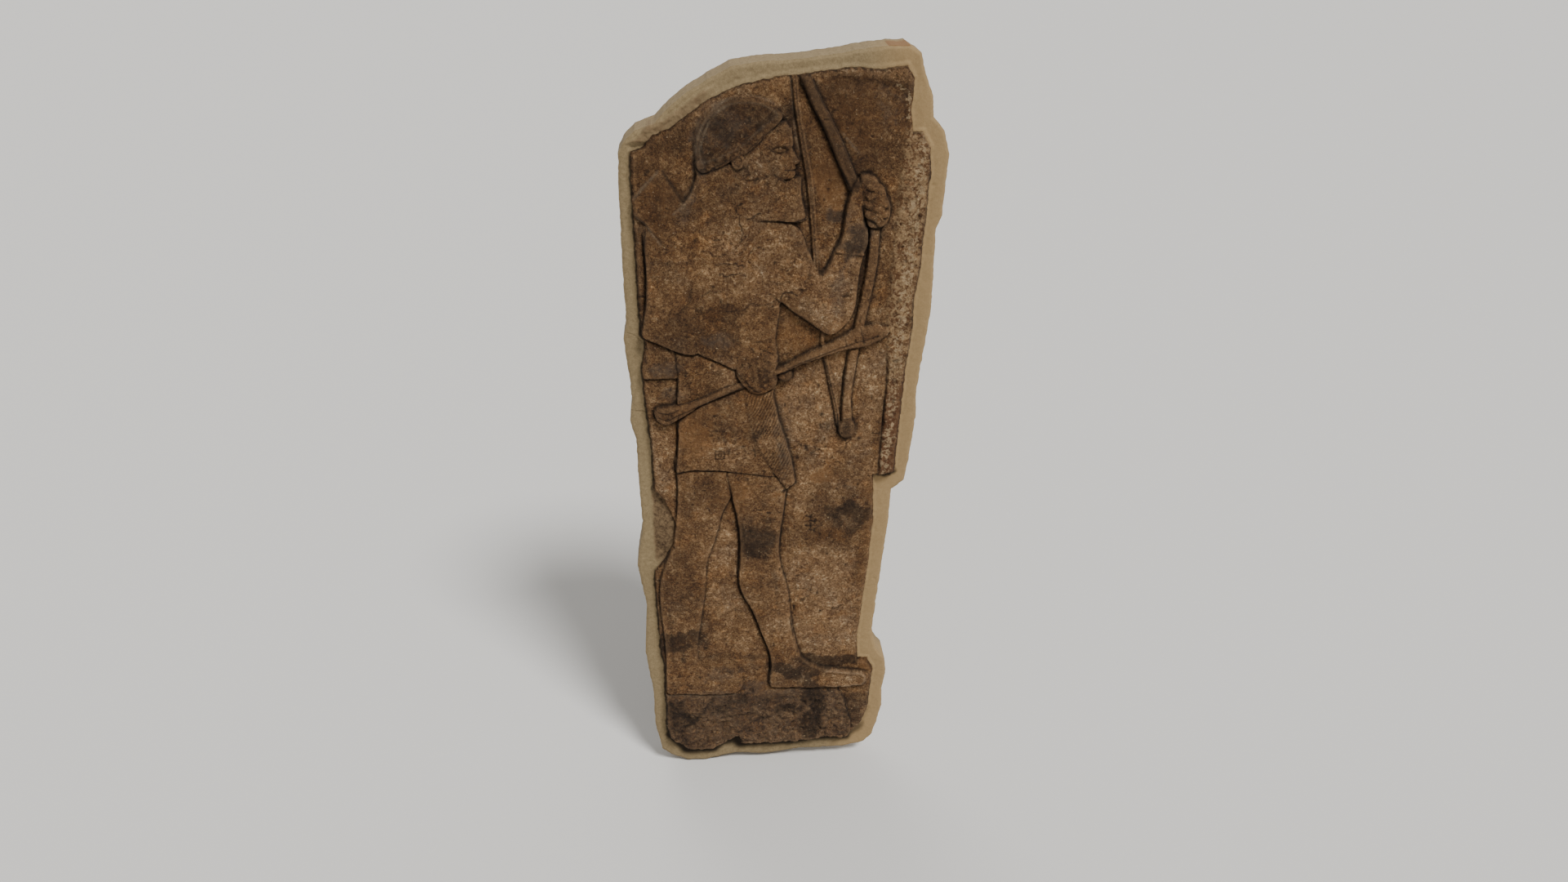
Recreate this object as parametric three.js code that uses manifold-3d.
import * as THREE from "three";
import { mergeVertices } from "three/addons/utils/BufferGeometryUtils.js";
import Module from "manifold-3d";

// A tall stone slab carved in low relief with a standing archer, and the plaster it is set in.
// Millimetres, +Z up. The carving faces -Y and the flat back lies in the plane y = 0.
// Every outline below is drawn in the slab's own plane as [x, z].

// Driving dimensions of the slab and its setting
const SLAB_DEPTH = 76; // from the back to the cut-back background of the carving
const SLAB_EDGE_WEAR = 4; // worn round of the slab's front edge
const PLASTER_DEPTH = 62; // from the back to the plaster's face, which lies behind the stone's
const GAP = 0.3; // clear gap between the stone and the plaster
const ROOT = 6; // how far each carved form runs down into the slab

// How far each carved form stands above the background
const RISE = {
  ground: 4, border: 5, string: 4, quiver: 7, body: 8, rearLeg: 8, bow: 9, waistBlock: 6,
  kilt: 10.5, frontLeg: 10, hair: 9, face: 8, beard: 11, headband: 11, ear: 12, eye: 9.5,
  arm: 13, fringe: 12.5, strand: 13.8, fist: 16, finger: 17.6, shaft: 15, cuff: 14.2,
};

// The head: a rounded cap of hair, and a face in three equal parts below the band
const HEAD = { x: -66, z: 622, halfWidth: 82, halfHeight: 81, squareness: 2.3 };
const FACE = { front: 16, top: 668, third: 33, nose: 12, lips: 6, depth: 90 };

// Feet: heel and toe positions along x, the sole's height, and how high the instep and toe stand
const REAR_FOOT = { heel: -225, toe: -55, sole: -592, instepX: -160, instep: 88, toeHeight: 43 };
const FRONT_FOOT = { heel: 5, toe: 221, sole: -586, instepX: 76, instep: 86, toeHeight: 34 };

const STRANDS = 6; // hanging strands on the fringed panel
const FINGERS = 4;

// The broken outline of the stone, clockwise from its upper left corner
const STONE_OUTLINE = [
  [-259, 616], [-236, 626], [-220, 646], [-192, 656], [-172, 672], [-126, 705], [-80, 726], [-34, 738],
  [30, 748], [66, 753], [120, 759], [160, 756], [203, 763], [215, 744], [215, 692], [220, 653],
  [238, 654], [253, 630], [258, 594], [257, 420], [251, 340], [253, 300], [246, 180], [244, -22],
  [212, -31], [202, -30], [210, -140], [207, -260], [203, -320], [197, -450], [201, -516], [224, -519],
  [239, -550], [236, -660], [220, -718], [188, -750], [136, -745], [54, -757], [-58, -758], [-64, -733],
  [-78, -740], [-124, -772], [-182, -771], [-220, -730], [-229, -690], [-230, -510], [-237, -470],
  [-243, -300], [-243, -258], [-224, -232], [-204, -190], [-200, -140], [-220, -78], [-240, -56],
  [-240, 50], [-249, 132], [-253, 222], [-243, 268], [-253, 284], [-256, 400], [-259, 540],
];

// The ragged outer edge of the plaster, clockwise from the upper left
const PLASTER_OUTLINE = [
  [-282, 515], [-280, 612], [-268, 634], [-251, 650], [-217, 664], [-195, 688], [-162, 714], [-128, 735],
  [-90, 756], [-39, 765], [19, 769], [76, 777], [125, 787], [172, 793], [204, 794], [226, 782],
  [235, 754], [253, 712], [257, 678], [279, 655], [291, 614], [290, 505], [281, 480], [286, 384],
  [288, 326], [276, 157], [280, 92], [275, 2], [269, -51], [245, -72], [245, -150], [235, -351],
  [231, -440], [241, -492], [265, -525], [272, -561], [266, -621], [271, -670], [255, -760], [235, -787],
  [184, -799], [82, -799], [1, -811], [-69, -805], [-140, -822], [-180, -822], [-220, -802],
  [-242, -781], [-256, -698], [-258, -593], [-271, -486], [-264, -351], [-279, -248], [-265, -158],
  [-269, -39], [-271, 56], [-281, 98], [-274, 141], [-285, 270], [-279, 294], [-281, 395],
];

// Limbs and rods: stations [x, z, half width] along the middle of each
const REAR_LEG = [
  [-139, 20, 52], [-141, -72, 51], [-158, -150, 41], [-168, -205, 39], [-184, -262, 47],
  [-187, -350, 43], [-192, -450, 34], [-193, -560, 31],
];
const FRONT_LEG = [
  [-30, 20, 55], [-29, -76, 53], [-27, -155, 42], [-27, -206, 37.5], [-19, -280, 49],
  [-6, -340, 46], [12, -400, 37], [28, -462, 32], [40, -530, 35],
];
const RIGHT_UPPER_ARM = [[-204, 486, 34], [-205, 420, 35], [-206, 350, 35], [-206, 316, 34]];
const RIGHT_FOREARM = [[-216, 318, 38], [-170, 290, 37], [-110, 262, 29], [-70, 240, 24], [-50, 232, 24]];
const RAISED_UPPER_ARM = [[10, 400, 44], [48, 362, 38], [84, 334, 37], [106, 326, 33]];
const RAISED_FOREARM = [[102, 318, 30], [110, 360, 30], [115, 410, 28], [126, 455, 24], [128, 500, 19]];
const RAISED_PALM = [[127, 480, 20], [128, 520, 16], [132, 550, 13], [142, 576, 9]];
const BOW_UPPER = [[34, 744, 6.5], [54, 698, 7], [76, 652, 7.5], [102, 598, 8.5], [124, 556, 10]];
const BOW_LOWER = [[166, 486, 9], [166, 425, 9], [159, 360, 9], [149, 290, 8.5], [140, 220, 9],
  [136, 150, 8], [138, 100, 9]];
const STRING_UPPER = [[17, 742, 4], [29, 660, 4], [43, 596, 4], [57, 500, 4], [66, 392, 4]];
const STRING_LOWER = [[88, 262, 4], [98, 205, 4], [116, 125, 4], [121, 94, 4]];
const SHAFT_LEFT = [[-200, 128, 9], [-160, 141, 8], [-110, 165, 7], [-62, 187, 6.5]];
const SHAFT_RIGHT = [[-12, 207, 4], [30, 224, 6], [80, 249, 9], [130, 271, 13], [190, 291, 18]];
const HEADBAND = [[-146, 594, 12], [-112, 607, 12], [-68, 630, 12], [-36, 660, 13], [-8, 683, 11]];
const QUIVER = [[-238, 574, 33], [-186, 496, 31]];
const FIST_FINGER = { x: -58, z: 208, pitch: 13.5, length: 42, halfWidth: 6.4, lean: 5 };
const GRIP_FINGER = { x: 165, z: 567, pitch: 18, length: 36, halfWidth: 8.6, lean: -9 };
const RIGHT_ELBOW = { x: -210, z: 312, halfWidth: 32, halfHeight: 34, squareness: 2 };
const RAISED_ELBOW = { x: 99, z: 319, halfWidth: 32, halfHeight: 32, squareness: 2 };
const FIST = { x: -36, z: 206, halfWidth: 37, halfHeight: 40, squareness: 2.3 };
const GRIP = { x: 164, z: 537, halfWidth: 24, halfHeight: 44, squareness: 2.4 };
const CUFF = [[98, 447, 3], [124, 444, 3], [150, 442, 3]];

// Solid outlines of cloth and body, only the points that each needs
const TORSO = [
  [-190, 512], [-140, 528], [-60, 520], [10, 500], [34, 478], [44, 448], [58, 414], [40, 372], [4, 349],
  [1, 330], [-5, 272], [0, 236], [-2, 186], [-30, 120], [-120, 100], [-184, 108], [-186, 200],
  [-186, 320], [-196, 420],
];
const HAIR_BUNCH = [
  [-147, 606], [-148, 580], [-156, 552], [-178, 518], [-150, 500], [-104, 498], [-76, 512],
  [-68, 548], [-74, 592], [-104, 604],
];
const BEARD = [
  [-80, 584], [-60, 575], [-34, 583], [-14, 581], [6, 578], [27, 578], [30, 556], [37, 524],
  [38, 508], [30, 500], [0, 502], [-44, 502], [-70, 512], [-76, 548],
];
const KILT = [
  [-182, 112], [-189, 70], [-194, 30], [-196, -9], [-170, -6], [-120, -6], [-60, -12], [6, -16],
  [10, 40], [-6, 150], [-40, 176], [-110, 156],
];
const CAP_EDGE = [[-170, 586], [-112, 602], [-68, 624], [-36, 654], [30, 706], [30, 760], [-170, 760]];
const FRINGE_LEFT = [[-62, 168], [-50, 104], [-34, 46], [-6, -4], [26, -52]];
const FRINGE_RIGHT = [[-9, 170], [2, 118], [20, 62], [35, 8], [42, -38]];
const GROUND = [
  [-232, -594], [-140, -596], [0, -590], [110, -588], [158, -592], [178, -632], [194, -690],
  [198, -760], [0, -790], [-240, -790],
];
const BORDER = [
  [206, -26], [207, 200], [201, 300], [203, 450], [207, 600], [212, 680], [204, 716], [186, 735],
  [130, 739], [90, 748], [90, 780], [280, 780], [280, -26],
];
const WAIST_BLOCK = [[-262, 194], [-186, 195], [-180, 262], [-262, 300]];
const TOE_CAP = [[122, -536], [170, -541], [221, -550], [220, -575], [180, -586], [122, -584]];
const BULB = { x: -206, z: 125, halfWidth: 29, halfHeight: 23, squareness: 2.4 };
const BOW_TIP = { x: 140, z: 80, halfWidth: 19, halfHeight: 21, squareness: 2.2 };
const KNOB = { x: 15, z: 203, halfWidth: 14, halfHeight: 13, squareness: 2 };
const EAR = { x: -78, z: 606, halfWidth: 12, halfHeight: 15, squareness: 2 };
const EYE = {
  x: FACE.front - 23, z: FACE.top - 1.3 * FACE.third, halfWidth: 13, halfHeight: 4.5, squareness: 1.5,
};

const wasm = await Module();
wasm.setup();

function toVectors(points) {
  return points.map(([x, z]) => new THREE.Vector2(x, z));
}

// A closed smooth outline through the given points
function smoothOutline(points, perPoint = 2) {
  const loop = new THREE.CatmullRomCurve3(
    points.map(([x, z]) => new THREE.Vector3(x, z, 0)), true, "centripetal");
  return loop.getPoints(points.length * perPoint).slice(0, -1).map((p) => new THREE.Vector2(p.x, p.y));
}

// A limb or rod: its two edges stand half a width off a smooth middle line
function limbOutline(stations, perStation = 2) {
  const middle = new THREE.CatmullRomCurve3(
    stations.map(([x, z, half]) => new THREE.Vector3(x, z, half)), false, "centripetal");
  const count = (stations.length - 1) * perStation;
  const left = [];
  const right = [];
  for (let i = 0; i <= count; i += 1) {
    const point = middle.getPoint(i / count);
    const tangent = middle.getTangent(i / count);
    const normal = new THREE.Vector2(-tangent.y, tangent.x).normalize().multiplyScalar(point.z);
    left.push(new THREE.Vector2(point.x + normal.x, point.y + normal.y));
    right.push(new THREE.Vector2(point.x - normal.x, point.y - normal.y));
  }
  return left.concat(right.reverse());
}

// A rounded boss: a superellipse, a circle at squareness 2 and squarer above it
function bossOutline({ x, z, halfWidth, halfHeight, squareness }, sides = 20) {
  const points = [];
  for (let i = 0; i < sides; i += 1) {
    const angle = (2 * Math.PI * i) / sides;
    const c = Math.cos(angle);
    const s = Math.sin(angle);
    points.push(new THREE.Vector2(
      x + halfWidth * Math.sign(c) * Math.abs(c) ** (2 / squareness),
      z + halfHeight * Math.sign(s) * Math.abs(s) ** (2 / squareness)));
  }
  return points;
}

// A foot in profile: heel, instep and toe stand on one flat sole
function footOutline({ heel, toe, sole, instepX, instep, toeHeight }) {
  const way = Math.sign(toe - heel);
  return smoothOutline([
    [heel + 3 * way, sole + 14], [heel, sole + 40], [heel + 6 * way, sole + instep],
    [instepX, sole + instep], [instepX + 26 * way, sole + toeHeight + 22],
    [(instepX + toe) / 2 + 14 * way, sole + toeHeight + 7], [toe - 6 * way, sole + toeHeight],
    [toe, sole + toeHeight / 2], [toe - 8 * way, sole + 3], [(heel + toe) / 2, sole], [heel + 14 * way, sole],
  ]);
}

// The face's profile in thirds: hairline to brow, brow to the foot of the nose, and on to the chin
function faceOutline() {
  const { front, top, third, nose, lips, depth } = FACE;
  const back = front - depth;
  return toVectors([
    [back, top - 2 * third], [back, top], [front - 14, top + 4], [front - 4, top - 0.3 * third],
    [front, top - third], [front - 2, top - 1.2 * third], [front + 0.6 * nose, top - 1.7 * third],
    [front + nose, top - 1.88 * third], [front + 0.8 * nose, top - 2 * third],
    [front + 0.35 * nose, top - 2.08 * third], [front + lips, top - 2.25 * third],
    [front + 0.5 * lips, top - 2.36 * third], [front + 0.9 * lips, top - 2.5 * third],
    [front + 0.4 * lips, top - 2.85 * third], [back, top - 2.85 * third],
  ]);
}

// The panel of cloth between its two edges, and the strand a share of the way across it
function fringeOutline() {
  return smoothOutline([...FRINGE_LEFT, ...[...FRINGE_RIGHT].reverse()], 1);
}

function strandStations(share) {
  return FRINGE_LEFT.map(([x, z], i) => {
    const [otherX, otherZ] = FRINGE_RIGHT[i];
    const spacing = Math.hypot(otherX - x, otherZ - z) / (STRANDS + 1);
    return [THREE.MathUtils.lerp(x, otherX, share), THREE.MathUtils.lerp(z, otherZ, share), 0.3 * spacing];
  });
}

// Closed fingers lie side by side, each a short rounded bar leaning a little
function fingerStations({ x, z, pitch, length, halfWidth, lean }, index, alongX) {
  if (alongX) {
    return [[x + index * pitch, z + length / 2, halfWidth],
      [x + index * pitch + lean, z - length / 2 + 3 * Math.abs(index - 1.5), halfWidth * 0.9]];
  }
  return [[x - length / 2, z - index * pitch, halfWidth * 0.9],
    [x + length / 2 - 2 * index, z - index * pitch + lean, halfWidth]];
}

function toSolid(geometry) {
  const bare = geometry.index ? geometry.toNonIndexed() : geometry.clone();
  bare.deleteAttribute("normal");
  bare.deleteAttribute("uv");
  const merged = mergeVertices(bare, 1e-4);
  return new wasm.Manifold(new wasm.Mesh({
    numProp: 3,
    vertProperties: new Float32Array(merged.attributes.position.array),
    triVerts: new Uint32Array(merged.index.array),
  }));
}

// An outline carried from one distance off the wall to another, its front edge rounded over
function block(points, from, to, round = 0, steps = 1) {
  const geometry = new THREE.ExtrudeGeometry(new THREE.Shape(points), {
    depth: to - from - 2 * round,
    bevelEnabled: round > 0,
    bevelThickness: round,
    bevelSize: round,
    bevelOffset: -round,
    bevelSegments: steps,
    curveSegments: 1,
  });
  geometry.translate(0, 0, from + round);
  geometry.rotateX(Math.PI / 2);
  return toSolid(geometry);
}

// A carved form: it rises from inside the slab to its own height above the background
function carve(points, rise, round, steps = 1) {
  return block(points, SLAB_DEPTH - ROOT - round, SLAB_DEPTH + rise, round, steps);
}

// A carved form that sinks by a given drop at its near end and keeps its full height at its far end
function carveSloping(stations, rise, round, drop) {
  const [startX, startZ] = stations[0];
  const [endX, endZ] = stations[stations.length - 1];
  const length = Math.hypot(endX - startX, endZ - startZ);
  return carve(limbOutline(stations), rise, round, 2).warp((vertex) => {
    if (-vertex[1] < SLAB_DEPTH) return;
    const along = (vertex[0] - startX) * (endX - startX) + (vertex[2] - startZ) * (endZ - startZ);
    vertex[1] += drop * (1 - THREE.MathUtils.clamp(along / length ** 2, 0, 1));
  });
}

// An outline moved outwards by a distance, or inwards by a negative one, with mitred corners
function grow(points, distance) {
  const count = points.length;
  const side = Math.sign(THREE.ShapeUtils.area(points));
  return points.map((point, i) => {
    const before = points[(i + count - 1) % count];
    const after = points[(i + 1) % count];
    const into = point.clone().sub(before).normalize();
    const out = after.clone().sub(point).normalize();
    const normal = new THREE.Vector2(into.y + out.y, -into.x - out.x);
    return point.clone().addScaledVector(normal, side * distance / (1 + into.dot(out)));
  });
}

function headForms() {
  return [
    carve(bossOutline(HEAD, 28), RISE.hair, 5, 2)
      .intersect(block(toVectors(CAP_EDGE), 0, SLAB_DEPTH + 2 * RISE.hair)),
    carve(smoothOutline(HAIR_BUNCH), RISE.hair, 3),
    carve(faceOutline(), RISE.face, 2),
    carve(smoothOutline(BEARD), RISE.beard, 3),
    carve(limbOutline(HEADBAND), RISE.headband, 1.5),
    carve(bossOutline(EAR, 12), RISE.ear, 2),
    carve(bossOutline(EYE, 12), RISE.eye, 1),
  ];
}

function bodyForms() {
  const fingers = Array.from({ length: FINGERS }, (_, i) => i);
  return [
    carve(smoothOutline(TORSO), RISE.body, 4),
    carveSloping(RIGHT_UPPER_ARM, RISE.arm - 1, 6, 4),
    carve(bossOutline(RIGHT_ELBOW, 18), RISE.arm - 1, 6, 2),
    carveSloping(RIGHT_FOREARM, RISE.arm, 6, 1),
    carveSloping(RAISED_UPPER_ARM, RISE.arm, 6, 5),
    carve(bossOutline(RAISED_ELBOW, 18), RISE.arm, 6, 2),
    carve(limbOutline(RAISED_FOREARM), RISE.arm, 6, 2),
    carve(limbOutline(RAISED_PALM), RISE.arm, 4, 2),
    carve(limbOutline(CUFF), RISE.cuff, 1),
    carve(bossOutline(FIST), RISE.fist, 6, 2),
    carve(bossOutline(GRIP), RISE.fist - 2, 6, 2),
    ...fingers.map((i) => carve(limbOutline(fingerStations(FIST_FINGER, i, true)), RISE.finger, 3)),
    ...fingers.map((i) => carve(limbOutline(fingerStations(GRIP_FINGER, i, false)), RISE.fist, 3)),
  ];
}

function clothForms() {
  const shares = Array.from({ length: STRANDS }, (_, i) => (i + 1) / (STRANDS + 1));
  return [
    carve(smoothOutline(KILT), RISE.kilt, 2),
    carve(fringeOutline(), RISE.fringe, 1),
    ...shares.map((share) => carve(limbOutline(strandStations(share), 1), RISE.strand, 0.5)),
    carve(toVectors(WAIST_BLOCK), RISE.waistBlock, 2),
  ];
}

function legForms() {
  return [
    carve(limbOutline(REAR_LEG), RISE.rearLeg, 7, 2),
    carve(footOutline(REAR_FOOT), RISE.rearLeg, 5, 2),
    carve(limbOutline(FRONT_LEG), RISE.frontLeg, 8, 2),
    carve(footOutline(FRONT_FOOT), RISE.frontLeg, 5, 2),
    carve(smoothOutline(TOE_CAP), RISE.frontLeg + 1, 2),
  ];
}

function weaponForms() {
  return [
    carve(limbOutline(QUIVER), RISE.quiver, 3),
    carve(limbOutline(BOW_UPPER), RISE.bow, 3, 2),
    carve(limbOutline(BOW_LOWER), RISE.bow, 3, 2),
    carve(bossOutline(BOW_TIP, 16), RISE.bow, 4, 2),
    carve(limbOutline(STRING_UPPER), RISE.string, 1.5),
    carve(limbOutline(STRING_LOWER), RISE.string, 1.5),
    carve(limbOutline(SHAFT_LEFT), RISE.shaft, 3, 2),
    carve(limbOutline(SHAFT_RIGHT), RISE.shaft, 3, 2),
    carve(bossOutline(BULB, 18), RISE.shaft, 6, 2),
    carve(bossOutline(KNOB, 14), RISE.shaft - 2, 4, 2),
  ];
}

function groundForms() {
  return [
    carve(toVectors(GROUND), RISE.ground, 2),
    carve(toVectors(BORDER), RISE.border, 2),
  ];
}

function stonePanel() {
  const outline = toVectors(STONE_OUTLINE);
  const slab = block(outline, -SLAB_EDGE_WEAR, SLAB_DEPTH, SLAB_EDGE_WEAR);
  const everyForm = wasm.Manifold.union([
    ...headForms(), ...bodyForms(), ...clothForms(), ...legForms(), ...weaponForms(), ...groundForms(),
  ]);
  const proud = Math.max(...Object.values(RISE)) + 1;
  const keep = block(grow(outline, -1.5), 0, SLAB_DEPTH + proud);
  const behind = new THREE.BoxGeometry(700, 40, 1800).translate(0, 20, 0);
  return slab.add(everyForm.intersect(keep)).subtract(toSolid(behind));
}

function plasterSurround() {
  const outer = block(toVectors(PLASTER_OUTLINE), 0, PLASTER_DEPTH);
  const pocket = block(grow(toVectors(STONE_OUTLINE), GAP), -10, SLAB_DEPTH + 10);
  return outer.subtract(pocket);
}

function named(name, solid, material) {
  const mesh = solid.getMesh();
  const geometry = new THREE.BufferGeometry();
  geometry.setAttribute("position", new THREE.BufferAttribute(mesh.vertProperties, 3));
  geometry.setIndex(new THREE.BufferAttribute(mesh.triVerts, 1));
  geometry.computeVertexNormals();
  const part = new THREE.Mesh(geometry, material);
  part.name = name;
  return part;
}

const stone = new THREE.MeshStandardMaterial({ color: 0x9a7752, roughness: 0.9, metalness: 0 });
const plaster = new THREE.MeshStandardMaterial({ color: 0xcfbf9c, roughness: 0.95, metalness: 0 });

const group = new THREE.Group();
group.name = "stone_relief_panel";
group.add(named("stone_panel", stonePanel(), stone));
group.add(named("plaster_surround", plasterSurround(), plaster));

export default group;
